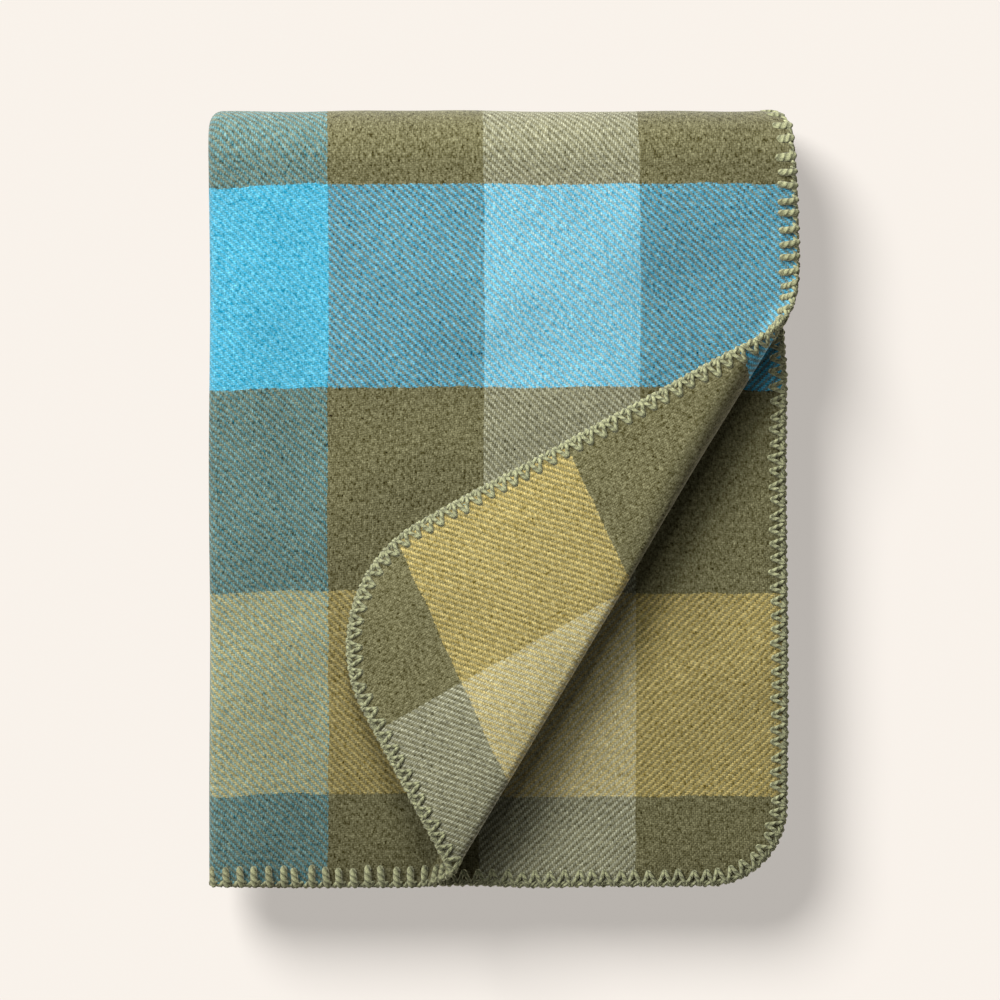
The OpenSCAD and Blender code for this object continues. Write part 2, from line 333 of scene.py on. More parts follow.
def clothHalf(u, v):
    # Half the cloth's thickness, thinned where the stitches press it
    eased = smooth(edgeDistance(u, v) / cloth["edgeDepth"])
    return clothT / 2 * (cloth["edgeThin"] + (1 - cloth["edgeThin"]) * eased)


# Meshes


def meshObject(name, points, faceSets, flatUv, face, stripes, material, sharp=()):
    # faceSets are arrays of faces of one width each; sharp are edges, as pairs of points
    mesh = bpy.data.meshes.new(name)
    faceSets = [np.asarray(f, np.int32) for f in faceSets if len(f)]
    corners = np.concatenate([f.ravel() for f in faceSets])
    sizes = np.concatenate([np.full(len(f), f.shape[1]) for f in faceSets])
    mesh.vertices.add(len(points))
    mesh.vertices.foreach_set("co", np.asarray(points, np.float32).ravel())
    mesh.loops.add(len(corners))
    mesh.loops.foreach_set("vertex_index", corners)
    mesh.polygons.add(len(sizes))
    starts = np.concatenate([[0], np.cumsum(sizes)[:-1]]).astype(np.int32)
    mesh.polygons.foreach_set("loop_start", starts)
    mesh.update(calc_edges=True)
    for layerName, values in (("flat", flatUv), ("stripes", stripes)):
        if values is not None:
            layer = mesh.uv_layers.new(name=layerName)
            layer.uv.foreach_set("vector", np.asarray(values, np.float32)[corners].ravel())
    side = mesh.attributes.new("side", "FLOAT", "POINT")
    side.data.foreach_set("value", np.asarray(face, np.float32))
    mesh.shade_smooth()
    if len(sharp):
        ends = np.empty(2 * len(mesh.edges), np.int32)
        mesh.edges.foreach_get("vertices", ends)
        ends = np.sort(ends.reshape(-1, 2), 1).astype(np.int64)
        wanted = np.sort(np.asarray(sharp, np.int64), 1)
        hard = mesh.attributes.new("sharp_edge", "BOOLEAN", "EDGE")
        rowLength = len(points)
        hard.data.foreach_set("value", np.isin(ends[:, 0] * rowLength + ends[:, 1],
                                               wanted[:, 0] * rowLength + wanted[:, 1]))
    mesh.validate()
    mesh.materials.append(material)
    obj = bpy.data.objects.new(name, mesh)
    scene.collection.objects.link(obj)
    return obj


def gridLines(stops, fine, coarse, first, last):
    # Positions along one direction, close together where the cloth bends (odd stretches)
    lines = []
    for k in range(len(stops) - 1):
        a, b = max(stops[k], first), min(stops[k + 1], last)
        if b - a < 1e-6:
            continue
        step = fine if k % 2 else coarse
        count = max(2, math.ceil((b - a) / step))
        lines.extend(np.linspace(a, b, count + 1)[:-1])
    lines.append(last)
    return np.array(lines)


def flatPiece(uLines, vLines, keep=None):
    # A flat piece of cloth as points and quads or triangles, cut along the crease if asked
    u, v = np.meshgrid(uLines, vLines)
    u, v = roundCorners(u.ravel(), v.ravel())
    across, rows = len(uLines), len(vLines)
    index = np.arange(across * rows).reshape(rows, across)
    quads = np.stack([index[:-1, :-1], index[:-1, 1:], index[1:, 1:], index[1:, :-1]], -1)
    quads = quads.reshape(-1, 4)
    if keep is None:
        return u, v, quads
    x, y = flatTopLeaf(u, v)
    s = pastTurn(x, y) * keep
    inside = (s[quads] > -1e-9).any(1)
    work = bmesh.new()
    made = [work.verts.new((a, b, 0)) for a, b in zip(u, v)]
    for quad in quads[inside]:
        work.faces.new([made[i] for i in quad])
    creasePoint = (freeSideX - turnStart[0], turnStart[1] - freeEndY, 0)
    normal = Vector((-acrossTurn[0], acrossTurn[1], 0)) * keep  # towards the kept side
    bmesh.ops.bisect_plane(work, geom=work.verts[:] + work.edges[:] + work.faces[:],
                           plane_co=creasePoint, plane_no=normal, clear_inner=True)
    lonely = [p for p in work.verts if not p.link_faces]
    bmesh.ops.delete(work, geom=lonely, context="VERTS")
    bmesh.ops.triangulate(work, faces=work.faces[:])
    work.verts.index_update()
    flat = np.array([p.co[:2] for p in work.verts])
    faces = np.array([[p.index for p in f.verts] for f in work.faces])
    work.free()
    return flat[:, 0], flat[:, 1], faces


def outwards(points, faces):
    # Turns the faces over if they enclose their volume inside out
    a, b, c = (points[faces[:, i]] for i in (0, 1, 2))
    volume = np.einsum("ij,ij->", a, np.cross(b, c))
    if faces.shape[1] == 4:
        volume += np.einsum("ij,ij->", a, np.cross(c, points[faces[:, 3]]))
    return faces if volume > 0 else faces[:, ::-1]


def stripePlace(u, v, turned):
    # Which stripe a flat point lies in. The pattern is alike from both sides of the cloth.
    if turned:  # the turned corner is pulled a little out of square
        pulled = np.maximum(pastTurn(*flatTopLeaf(u, v)) - math.pi / 2 * rollR, 0)
        u = np.maximum(u - cloth["pullU"] * pulled, 0.0005)
        v = v - cloth["pullV"] * pulled
    mirrored = u > clothW / 2
    across = np.where(mirrored, clothW - u + cloth["mirrorShift"], u)
    visible = 4 * cloth["stripeW"]
    middle = (7.5 * cloth["stripeW"] - visible) / (clothW / 2 - visible)
    across = np.where(across > visible, visible + (across - visible) * middle, across)
    nearFold = np.exp(-((np.abs(u - widthStops[1]) / 0.022) ** 1.5))
    dipped = v + cloth["foldDip"] * nearFold - np.where(mirrored, cloth["mirrorDrop"], 0)
    return across / cloth["stripeW"], (dipped - cloth["firstStripeL"]) / cloth["stripeL"]


def closedCloth(name, u, v, faces, material, turned=False):
    # Gives a flat piece its thickness, folds it, and joins its two sides round the rim
    count = len(u)
    half = clothHalf(u, v)
    points = np.concatenate([foldCloth(u, v, half, turned), foldCloth(u, v, -half, turned)])
    loops = np.stack([faces, np.roll(faces, -1, 1)], -1).reshape(-1, 2)
    code = loops[:, 0].astype(np.int64) * count + loops[:, 1]
    back = loops[:, 1].astype(np.int64) * count + loops[:, 0]
    rim = loops[~np.isin(code, back)]
    a, b = rim[:, 0], rim[:, 1]
    if faces.shape[1] == 4:
        rims = np.stack([b, a, a + count, b + count], 1)
    else:
        rims = np.concatenate([np.stack([b, a, a + count], 1),
                               np.stack([b, a + count, b + count], 1)])
    made = outwards(points, np.concatenate([faces, faces[:, ::-1] + count, rims]))
    flat = np.concatenate([np.stack([u, v], 1)] * 2)
    stripes = np.concatenate([np.stack(stripePlace(u, v, turned), 1)] * 2)
    side = np.concatenate([np.ones(count), np.zeros(count)])
    sharp = np.concatenate([rim, rim + count])
    return meshObject(name, points, [made], flat, side, stripes, material, sharp)


# The edging: a bar on the face, a V on the back and a two-strand rim


def edgePath():
    # Lengths and shapes of the cloth's outline, in order round it
    r, rt = cloth["cornerR"], cloth["turnedCornerR"]
    quarterTurn = math.pi / 2
    straight = [((0, rt), (0, 1), clothL - r - rt), ((r, clothL), (1, 0), clothW - 2 * r),
                ((clothW, clothL - r), (0, -1), clothL - 2 * r),
                ((clothW - r, 0), (-1, 0), clothW - r - rt)]
    round_ = [((r, clothL - r), r, math.pi), ((clothW - r, clothL - r), r, quarterTurn),
              ((clothW - r, r), r, 0), ((rt, rt), rt, -quarterTurn)]
    lengths = []
    for side, corner in zip(straight, round_):
        lengths += [side[2], corner[1] * quarterTurn]
    return straight, round_, np.cumsum([0] + lengths)


edgeSides, edgeCorners, edgeStops = edgePath()
edgeLength = edgeStops[-1]


def edgeAt(s):
    # Flat point, direction along the edge and outward direction at a distance round it
    s = np.asarray(s) % edgeLength
    k = np.clip(np.searchsorted(edgeStops, s, side="right") - 1, 0, 7)
    t = s - edgeStops[k]
    place = np.zeros((len(s), 2))
    along = np.zeros((len(s), 2))
    for i in range(4):
        start, way, _ = edgeSides[i]
        m = k == 2 * i
        place[m] = np.array(start) + t[m, None] * np.array(way)
        along[m] = way
        centre, r, first = edgeCorners[i]
        m = k == 2 * i + 1
        angle = first - t[m] / r
        place[m] = np.array(centre) + r * np.stack([np.cos(angle), np.sin(angle)], 1)
        along[m] = np.stack([np.sin(angle), -np.cos(angle)], 1)
    return place, along, np.stack([-along[:, 1], along[:, 0]], 1)


def softPath(points, count):
    # A smooth path through given points, with as many rings as asked
    p = np.array(points, float)
    p = np.vstack([2 * p[0] - p[1], p, 2 * p[-1] - p[-2]])
    t = np.linspace(0, len(p) - 3 - 1e-9, count)
    k = t.astype(int)
    f = (t - k)[:, None]
    a, b, c, d = (p[k + i] for i in range(4))
    return 0.5 * (2 * b + (c - a) * f + (2 * a - 5 * b + 4 * c - d) * f ** 2
                  + (3 * b - a - 3 * c + d) * f ** 3)


def yarnTube(path, radius, sides):
    # Points, quads, end triangles and yarn coordinates of a yarn that follows a path
    way = np.gradient(path, axis=0)
    way /= np.linalg.norm(way, axis=1)[:, None]
    cross = np.cross(way, np.array([0.0, 0.0, 1.0]))
    cross /= np.maximum(np.linalg.norm(cross, axis=1)[:, None], 1e-9)
    lift = np.cross(cross, way)
    angle = np.arange(sides) * 2 * math.pi / sides
    ring = (np.cos(angle)[None, :, None] * cross[:, None]
            + np.sin(angle)[None, :, None] * lift[:, None])
    points = (path[:, None] + ring * radius[:, None, None]).reshape(-1, 3)
    rows = len(path)
    index = np.arange(rows * sides).reshape(rows, sides)
    side = np.roll(index, -1, 1)
    quads = np.stack([index[:-1], index[1:], side[1:], side[:-1]], -1).reshape(-1, 4)
    fan = np.arange(1, sides - 1)
    first, last = index[0], index[-1]
    ends = np.concatenate([np.stack([first[0] + 0 * fan, first[fan], first[fan + 1]], 1),
                           np.stack([last[0] + 0 * fan, last[fan + 1], last[fan]], 1)])
    if outwards(points, quads) is not quads:
        quads = quads[:, ::-1]
        ends = ends[:, ::-1]
    length = np.concatenate([[0], np.cumsum(np.linalg.norm(np.diff(path, axis=0), axis=1))])
    flat = np.stack([np.tile(np.arange(sides) / sides, rows), np.repeat(length, sides)], 1)
    return points, quads, ends, flat


def joined(tubes):
    points, quads, ends, flat, count = [], [], [], [], 0
    for p, q, e, m in tubes:
        points.append(p)
        quads.append(q + count)
        ends.append(e + count)
        flat.append(m)
        count += len(p)
    return tuple(np.concatenate(x) for x in (points, quads, ends, flat))


def stitchParts():
    # One stitch in its own frame: along the edge, outwards, above the face
    depth, half = edging["depth"], clothT / 2 * cloth["edgeThin"]
    bar, leg = edging["barR"], edging["legR"]
    spread = edging["pitch"] * 0.42
    barPath = softPath([(0, -depth, half - 0.0010), (0, -depth * 0.95, half + 0.0004),
                        (0, -depth * 0.80, half + 0.0006), (0.0001, -depth * 0.4, half + 0.0007),
                        (0.0004, -0.0006, half + 0.0005), (0.0014, 0.0012, 0.0002)], 12)
    barR = bar * np.interp(np.linspace(0, 1, 12), [0, 0.12, 0.3, 0.8, 1], [0.45, 0.8, 1, 1, 0.75])
    parts = [yarnTube(barPath, barR, 8)]
    for way, reach in ((-1, 1.0), (1, 0.8)):
        deep = depth * edging["legDepth"]
        legPath = softPath([(0, -deep, -half + 0.0008),
                            (way * spread * 0.12, -deep * 0.9, -half - 0.0004),
                            (way * spread * 0.5, -deep * 0.52 * reach, -half - 0.0008),
                            (way * spread, -0.0004, -half - 0.0005),
                            (way * spread * 1.05, 0.0010, -0.0002)], 9)
        legR = leg * np.interp(np.linspace(0, 1, 9), [0, 0.15, 0.4, 1], [0.5, 0.95, 1, 0.85])
        parts.append(yarnTube(legPath, legR, 7))
    return joined(parts)


def exposure(u, v, turned):
    # How far the yarn may stand proud of the face and of the back: flat between layers
    hidden = edging["hidden"]
    quarter1 = v < lengthStops[1]
    leaf1 = u < widthStops[1]
    face = np.where((quarter1 & leaf1) | turned, 1.0, hidden)
    x, y = secondSideX - (clothW - u), freeEndY + v
    seen = quarter1 & (u > widthStops[6]) & (pastTurn(x, y) > 0.004)
    return face, np.where(seen | turned, 1.0, hidden)


def isTurned(u, v):
    x, y = flatTopLeaf(u, v)
    return (u < widthStops[1]) & (v < lengthStops[1]) & (pastTurn(x, y) > 0)


def regionOf(u, v):
    # Which stretch of edging a flat point belongs to
    k = np.clip(np.searchsorted(lengthStops, v, side="right") - 1, 0, 6)
    leaf2 = u > clothW / 2
    region = np.choose(k, [0, 3, 2, 2, 2, 5, 1])
    region = region + np.where(np.isin(k, (1, 5)) & leaf2, 1, 0)
    return np.where(isTurned(u, v), 7, region)


regionNames = ["quarter1", "quarter2", "lowerHalf", "outerFold1", "outerFold2",
               "innerFold1", "innerFold2", "turnedCorner"]


def makeEdging(material):
    count = round(edgeLength / edging["pitch"])
    step = edgeLength / count
    rng = np.random.default_rng(11)
    at = (np.arange(count) + 0.5) * step
    place, along, outward = edgeAt(at)
    region = regionOf(place[:, 0], place[:, 1])
    shape, shapeQuads, shapeEnds, shapeFlat = stitchParts()
    sway = rng.normal(0, 0.00035, (count, 3))
    stretch = rng.normal(1, 0.05, count)
    pieces = {name: [] for name in regionNames}
    half = clothT / 2 * cloth["edgeThin"]
    for i in range(count):
        e, n, h = shape.T
        inward = np.clip(-n / edging["depth"], 0, 1)
        e = e + sway[i, 0] * 2 * inward + sway[i, 1]
        n = np.where(n < 0, n * stretch[i], n)
        turned = region[i] == 7
        face, back = exposure(place[i:i + 1, 0], place[i:i + 1, 1], turned)
        over, under = np.maximum(h - half, 0), np.minimum(h + half, 0)
        h = np.clip(h, -half, half) + over * face + under * back
        u = place[i, 0] + along[i, 0] * e + outward[i, 0] * n
        v = place[i, 1] + along[i, 1] * e + outward[i, 1] * n
        stitch = (np.stack([u, v, h], 1), shapeQuads, shapeEnds, shapeFlat)
        pieces[regionNames[region[i]]].append(stitch)
    fine = 12  # rim samples for each stitch
    at = np.arange(count * fine + 1) * step / fine
    place, along, outward = edgeAt(at)
    region = regionOf(place[:, 0], place[:, 1])
    breaks = np.flatnonzero(np.diff(region)) + 1
    for first, last in zip(np.concatenate([[0], breaks]), np.concatenate([breaks, [len(at) - 1]])):
        run = np.arange(first, last + 1)
        for phase in (0, math.pi):
            angle = at[run] / step * 2 * math.pi + phase
            wobble = 1 + 0.08 * np.sin(at[run] * 391) + 0.05 * np.sin(at[run] * 1533)
            n = edging["rimOut"] + edging["rimTurnR"] * np.cos(angle) * wobble
            h = edging["rimTurnR"] * np.sin(angle)
            path = np.stack([place[run, 0] + outward[run, 0] * n,
                             place[run, 1] + outward[run, 1] * n, h], 1)
            path[:, :2] += along[run] * (0.0006 * np.cos(angle))[:, None]
            tube = yarnTube(path, edging["rimR"] * (1 + 0.06 * np.sin(at[run] * 977)), 6)
            pieces[regionNames[region[first]]].append(tube)
    made = {}
    for name, tubes in pieces.items():
        flat, quads, ends, yarn = joined(tubes)
        points = foldCloth(flat[:, 0], flat[:, 1], flat[:, 2], name == "turnedCorner")
        one = np.ones(len(flat))
        made[name] = meshObject(f"edging.{name}", points, [quads, ends], yarn, one, None, material)
    print(f"edging: {count} stitches")
    return made


# Materials


def addNode(tree, kind, inputs=None, **settings):
    node = tree.nodes.new(kind)
    for key, value in settings.items():
        setattr(node, key, value)
    for key, value in (inputs or {}).items():
        if isinstance(value, bpy.types.NodeSocket):
            tree.links.new(value, node.inputs[key])
        else:
            node.inputs[key].default_value = value
    return node


def calc(tree, operation, *values):
    return addNode(tree, "ShaderNodeMath", dict(enumerate(values)), operation=operation).outputs[0]


def vectorOf(tree, x, y, z=0.0):
    return addNode(tree, "ShaderNodeCombineXYZ", {0: x, 1: y, 2: z}).outputs[0]


def noise(tree, vector, scale=1.0, detail=2.0, roughness=0.5):
    inputs = {"Vector": vector, "Scale": scale, "Detail": detail, "Roughness": roughness}
    return addNode(tree, "ShaderNodeTexNoise", inputs).outputs["Fac"]


def mixColour(tree, amount, a, b, blend="MIX"):
    node = addNode(tree, "ShaderNodeMix", data_type="RGBA", blend_type=blend)
    for key, value in ((0, amount), (6, a), (7, b)):
        if isinstance(value, bpy.types.NodeSocket):
            tree.links.new(value, node.inputs[key])
        else:
            node.inputs[key].default_value = (*value, 1) if isinstance(value, tuple) else value
    return node.outputs[2]


def scaled(tree, value, low, high):
    # Spreads a 0 to 1 value over low to high
    return calc(tree, "MULTIPLY_ADD", value, high - low, low)


def stripeRamp(tree, place, colours):
    # Four equal stripes that repeat
    turnPlace = calc(tree, "FRACT", calc(tree, "MULTIPLY", place, 0.25))
    node = addNode(tree, "ShaderNodeValToRGB", {0: turnPlace})
    ramp = node.color_ramp
    ramp.interpolation = "CONSTANT"
    while len(ramp.elements) < len(colours):
        ramp.elements.new(0.5)
    for i, colour in enumerate(colours):
        ramp.elements[i].position = i / len(colours)
        ramp.elements[i].color = (*colour, 1)
    return node.outputs[0]


def wovenWool():
    # A 2/2 twill of four warp and four weft stripes, brushed, in mixed wool yarns
    material = bpy.data.materials.new("brushed wool twill")
    material.use_nodes = True
    tree = material.node_tree
    surface = tree.nodes["Principled BSDF"]

    def do(operation, *values):
        return calc(tree, operation, *values)

    flat = addNode(tree, "ShaderNodeSeparateXYZ",
                   {0: addNode(tree, "ShaderNodeUVMap", uv_map="flat").outputs[0]}).outputs
    stripes = addNode(tree, "ShaderNodeSeparateXYZ",
                      {0: addNode(tree, "ShaderNodeUVMap", uv_map="stripes").outputs[0]}).outputs
    side = addNode(tree, "ShaderNodeAttribute", attribute_name="side").outputs["Fac"]
    place = vectorOf(tree, flat[0], flat[1])

    # The yarns wander a little, so no line is ruler straight
    drift = noise(tree, place, 55.0, 2.0)
    driftToo = noise(tree, vectorOf(tree, flat[1], flat[0], 3.0), 50.0, 2.0)
    fine = noise(tree, place, 900.0, 2.0)
    i = do("ADD", do("DIVIDE", flat[0], cloth["warpPitch"]),
           do("MULTIPLY", do("SUBTRACT", drift, 0.5), 1.6))
    j = do("ADD", do("DIVIDE", flat[1], cloth["weftPitch"]),
           do("MULTIPLY", do("SUBTRACT", driftToo, 0.5), 1.6))
    warpNo, weftNo = do("FLOOR", i), do("FLOOR", j)
    inWarp, inWeft = do("FRACT", i), do("FRACT", j)

    # Where the warp lies on top: two over and two under, one step along in each row
    step = do("FLOORED_MODULO", do("SUBTRACT", warpNo, weftNo), 4.0)
    faceUp = do("LESS_THAN", step, 2.0)
    up = do("ABSOLUTE", do("SUBTRACT", faceUp, do("SUBTRACT", 1.0, side)))
    warpAcross = do("ABSOLUTE", do("SUBTRACT", do("MULTIPLY", inWarp, 2.0), 1.0))
    weftAcross = do("ABSOLUTE", do("SUBTRACT", do("MULTIPLY", inWeft, 2.0), 1.0))
    narrow = do("LESS_THAN", do("ADD", warpAcross, do("MULTIPLY", fine, 0.3)),
                cloth["warpWidth"] + 0.15)
    eachFloat = addNode(tree, "ShaderNodeTexWhiteNoise", {0: vectorOf(tree, warpNo, weftNo)})
    loose = eachFloat.outputs["Value"]
    # Brushed fibres of the other yarn veil each float, some more than others
    veil = do("MULTIPLY", scaled(tree, loose, 0.60, 0.36), scaled(tree, side, 1.25, 1.0))
    least = scaled(tree, loose, 0.14, 0.24)
    warpShows = do("ADD", least, do("MULTIPLY", do("MULTIPLY", up, narrow), veil))
    # The olive warp is the fuller yarn, and covers more of the weft on the face
    olive = do("LESS_THAN", do("FLOORED_MODULO", stripes[0], 2.0), 1.0)
    warpShows = do("ADD", warpShows,
                   do("MULTIPLY", do("MULTIPLY", olive, side), cloth["oliveCover"]))

    # Each yarn is spun of lighter and darker fibres
    alongWarp = vectorOf(tree, do("MULTIPLY", warpNo, 5.3), do("MULTIPLY", flat[1], 420.0))
    alongWeft = vectorOf(tree, do("MULTIPLY", flat[0], 420.0), do("MULTIPLY", weftNo, 5.3), 9.0)
    warpMix = noise(tree, alongWarp, 1.0, 3.0, 0.6)
    weftMix = noise(tree, alongWeft, 1.0, 3.0, 0.6)
    edgeWander = do("MULTIPLY", do("SUBTRACT", drift, 0.5), 0.025)
    fineWander = do("MULTIPLY", do("SUBTRACT", fine, 0.5), 0.022)
    wander = do("ADD", edgeWander, fineWander)
    warpColour = stripeRamp(tree, do("ADD", stripes[0], wander),
                            [cloth["olive"], cloth["light"], cloth["olive"], cloth["blueWarp"]])
    weftColour = stripeRamp(tree, do("ADD", stripes[1], wander),
                            [cloth["gold"], cloth["olive"], cloth["blueWeft"], cloth["olive"]])
    yarnColour = mixColour(tree, warpShows, weftColour, warpColour)
    mixed = addNode(tree, "ShaderNodeMix", {0: warpShows, 2: weftMix, 3: warpMix},
                    data_type="FLOAT").outputs[0]
    shade = do("MAXIMUM", scaled(tree, mixed, 0.25, 1.75), 0.2)

    # Height of the yarn on top: round across, arched along its float
    warpStep = do("ADD", do("SUBTRACT", j, warpNo), 1.0)
    weftStep = do("SUBTRACT", do("SUBTRACT", i, weftNo), 2.0)
    warpAlong = do("MULTIPLY", do("FLOORED_MODULO", warpStep, 4.0), 0.5)
    weftAlong = do("MULTIPLY", do("FLOORED_MODULO", weftStep, 4.0), 0.5)
    heights = []
    for across, along in ((warpAcross, warpAlong), (weftAcross, weftAlong)):
        onTop = do("FRACT", along)  # the float under the other side repeats the same arch
        arch = do("SINE", do("MULTIPLY", onTop, math.pi))
        fallen = do("SUBTRACT", 1.0, do("MULTIPLY", across, across))
        roundness = do("SQRT", do("MAXIMUM", fallen, 0.0))
        heights.append(do("MULTIPLY", roundness, scaled(tree, arch, 0.45, 1.0)))
    height = addNode(tree, "ShaderNodeMix", {0: up, 2: heights[1], 3: heights[0]},
                     data_type="FLOAT").outputs[0]
    fuzz = noise(tree, place, 2600.0, 3.0, 0.65)
    relief = do("ADD", do("MULTIPLY", height, 0.8), do("MULTIPLY", fuzz, 0.9))

    # Painted shade, darker in the hollows between the yarns and lighter on their crowns, and
    # brushed fibres that lie over them here and there
    reliefShade = scaled(tree, height, 0.62, 1.18)
    brushedPlace = vectorOf(tree, flat[0], do("MULTIPLY", flat[1], 0.6), 4.0)
    brushed = noise(tree, brushedPlace, 700.0, 4.0, 0.7)
    broad = noise(tree, place, 22.0, 3.0)
    reliefShade = do("MULTIPLY", reliefShade, scaled(tree, side, cloth["backLift"], 1.0))
    # The colour's level: the painted relief shade times the yarns' own fibre, brushed and broad
    # tone
    level = do("MULTIPLY", do("MULTIPLY", reliefShade, shade),
               do("MULTIPLY", do("MAXIMUM", scaled(tree, brushed, 0.35, 1.65), 0.2),
                  scaled(tree, broad, 0.80, 1.20)))
    base = mixColour(tree, 1.0, yarnColour, vectorOf(tree, level, level, level), "MULTIPLY")
    # Pale and dark fibres of the mixed wool, most seen on the dark yarns
    fibres = do("ADD", do("SUBTRACT", brushed, 0.5), do("SUBTRACT", mixed, 0.5))
    fleck = do("MULTIPLY", fibres, cloth["fleck"])
    fleckColour = vectorOf(tree, fleck, fleck, do("MULTIPLY", fleck, 0.7))
    base = mixColour(tree, 1.0, base, fleckColour, "ADD")
    base.node.clamp_result = True
    bump = addNode(tree, "ShaderNodeBump", {"Strength": 0.55, "Distance": 0.0006, "Height": relief})
    tree.links.new(base, surface.inputs["Base Color"])
    tree.links.new(bump.outputs[0], surface.inputs["Normal"])
    surface.inputs["Roughness"].default_value = cloth["roughness"]
    surface.inputs["Specular IOR Level"].default_value = 0.12
    surface.inputs["Sheen Weight"].default_value = cloth["sheen"]
    surface.inputs["Sheen Roughness"].default_value = 0.45
    surface.inputs["Sheen Tint"].default_value = (0.9, 0.9, 0.82, 1)
    return material


def edgingWool():
    # Two-ply wool: a twist along the yarn, with painted shade in its groove
    material = bpy.data.materials.new("two-ply edging wool")
    material.use_nodes = True
    tree = material.node_tree
    surface = tree.nodes["Principled BSDF"]
    yarn = addNode(tree, "ShaderNodeSeparateXYZ",
                   {0: addNode(tree, "ShaderNodeUVMap", uv_map="flat").outputs[0]}).outputs
    where = addNode(tree, "ShaderNodeTexCoord").outputs["Object"]
    phase = calc(tree, "ADD", yarn[0], calc(tree, "DIVIDE", yarn[1], edging["twist"]))
    ply = calc(tree, "ABSOLUTE", calc(tree, "SINE", calc(tree, "MULTIPLY", phase, 2 * math.pi)))
    fibre = noise(tree, where, 1500.0, 3.0, 0.6)
    blotch = noise(tree, where, 160.0, 2.0)
    # Painted shade: darker in the groove between the plies; the fibre and blotch noise is the
    # yarn's own tone
    level = calc(tree, "MULTIPLY", scaled(tree, calc(tree, "POWER", ply, 0.6), 0.30, 1.15),
                 calc(tree, "MULTIPLY", scaled(tree, fibre, -0.1, 2.1),
                      scaled(tree, blotch, 0.6, 1.4)))
    base = mixColour(tree, 1.0, edging["colour"], vectorOf(tree, level, level, level), "MULTIPLY")
    relief = calc(tree, "ADD", ply, calc(tree, "MULTIPLY", fibre, 1.2))
    bump = addNode(tree, "ShaderNodeBump", {"Strength": 0.8, "Distance": 0.0006, "Height": relief})
    tree.links.new(base, surface.inputs["Base Color"])
    tree.links.new(bump.outputs[0], surface.inputs["Normal"])
    surface.inputs["Roughness"].default_value = 0.9
    surface.inputs["Specular IOR Level"].default_value = 0.15
    surface.inputs["Sheen Weight"].default_value = 0.2
    surface.inputs["Sheen Roughness"].default_value = 0.5
    return material


wool = wovenWool()
yarnWool = edgingWool()

# The cloth, in the pieces that its folds part


def quarterNodes(quarter):
    return [f"leaf_{quarter}_{leaf}" for leaf in (1, 2, 3, 4)] + [
        f"{kind}_side_fold_{quarter}" for kind in ("outer", "inner", "right")]


def edgingNodes(quarter):
    return [f"edging_{quarter}_{leaf}" for leaf in ((1, 2, 3, 4) if quarter < 3 else (1, 2))]


def clothPiece(name, vFirst, vLast, uFirst=0.0, uLast=clothW, coarse=0.004, keep=None):
    us = gridLines(widthStops, 0.0009, coarse, uFirst, uLast)
    vs = gridLines(lengthStops, 0.0028, coarse, vFirst, vLast)
    u, v, faces = flatPiece(us, vs, keep)
    obj = closedCloth(f"cloth.{name}", u, v, faces, wool, keep == 1)
    p, q = u[faces], v[faces]
    area = 0.5 * abs(np.sum(p * np.roll(q, -1, 1) - np.roll(p, -1, 1) * q))
    size = (float(np.ptp(u)), float(np.ptp(v)))
    return obj, size, float(min(area, size[0] * size[1]))


innerPast = 0.003  # the tight inner fold's piece runs on a little into the flat cloth
innerFirst, innerLast = lengthStops[5] - innerPast, lengthStops[6] + innerPast
clothPieces = {}
for name, first, last, keep in (("quarter1", 0.0, lengthStops[1], -1),
                                ("quarter2", innerLast, clothL, None),
                                ("lowerHalf", lengthStops[2], innerFirst, None)):
    clothPieces[name] = clothPiece(name, first, last, keep=keep)
reachU = turnSide + (turnStart[1] - freeEndY) * alongTurn[0] / alongTurn[1]
spare = 0.004  # the corner's grid runs on past the crease before it is cut there
clothPieces["turnedCorner"] = clothPiece("turnedCorner", 0.0, float(turnStopV) + spare, 0.0,
                                         float(reachU) + spare, 0.0017, 1)
splits = [0.0, *((widthStops[k] + widthStops[k + 1]) / 2 for k in (1, 3, 5)), clothW]
for ring, first, last in (("outerFold", lengthStops[1], lengthStops[2]),
                          ("innerFold", innerFirst, innerLast)):
    for leaf, a, b in zip((1, 4, 3, 2), splits[:-1], splits[1:]):
        clothPieces[f"{ring}{leaf}"] = clothPiece(f"{ring}{leaf}", first, last, a, b)
print("cloth folded")
edges = makeEdging(yarnWool)

# What each piece stands for
standsFor = {
    "cloth.quarter1": quarterNodes(1), "cloth.quarter2": quarterNodes(2),
    "cloth.lowerHalf": quarterNodes(3) + quarterNodes(4) + ["lower_end_fold"],
    "cloth.turnedCorner": ["turned_roll", "turned_corner"],
    "edging.quarter1": edgingNodes(1) + ["side_fold_edging_1"],
    "edging.quarter2": edgingNodes(2) + ["side_fold_edging_2"],
    "edging.lowerHalf": edgingNodes(3) + edgingNodes(4) + ["lower_end_fold_edging"],
    "edging.turnedCorner": ["turned_roll_edging", "turned_corner_edging"],
}
for leaf in (1, 2, 3, 4):
    standsFor[f"cloth.outerFold{leaf}"] = ["outer_end_fold"]
    standsFor[f"cloth.innerFold{leaf}"] = ["inner_end_fold"]
for leaf in (1, 2):
    standsFor[f"edging.outerFold{leaf}"] = ["outer_end_fold_edging"]
    standsFor[f"edging.innerFold{leaf}"] = ["inner_end_fold_edging"]
for name, nodes in standsFor.items():
    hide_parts(*nodes)
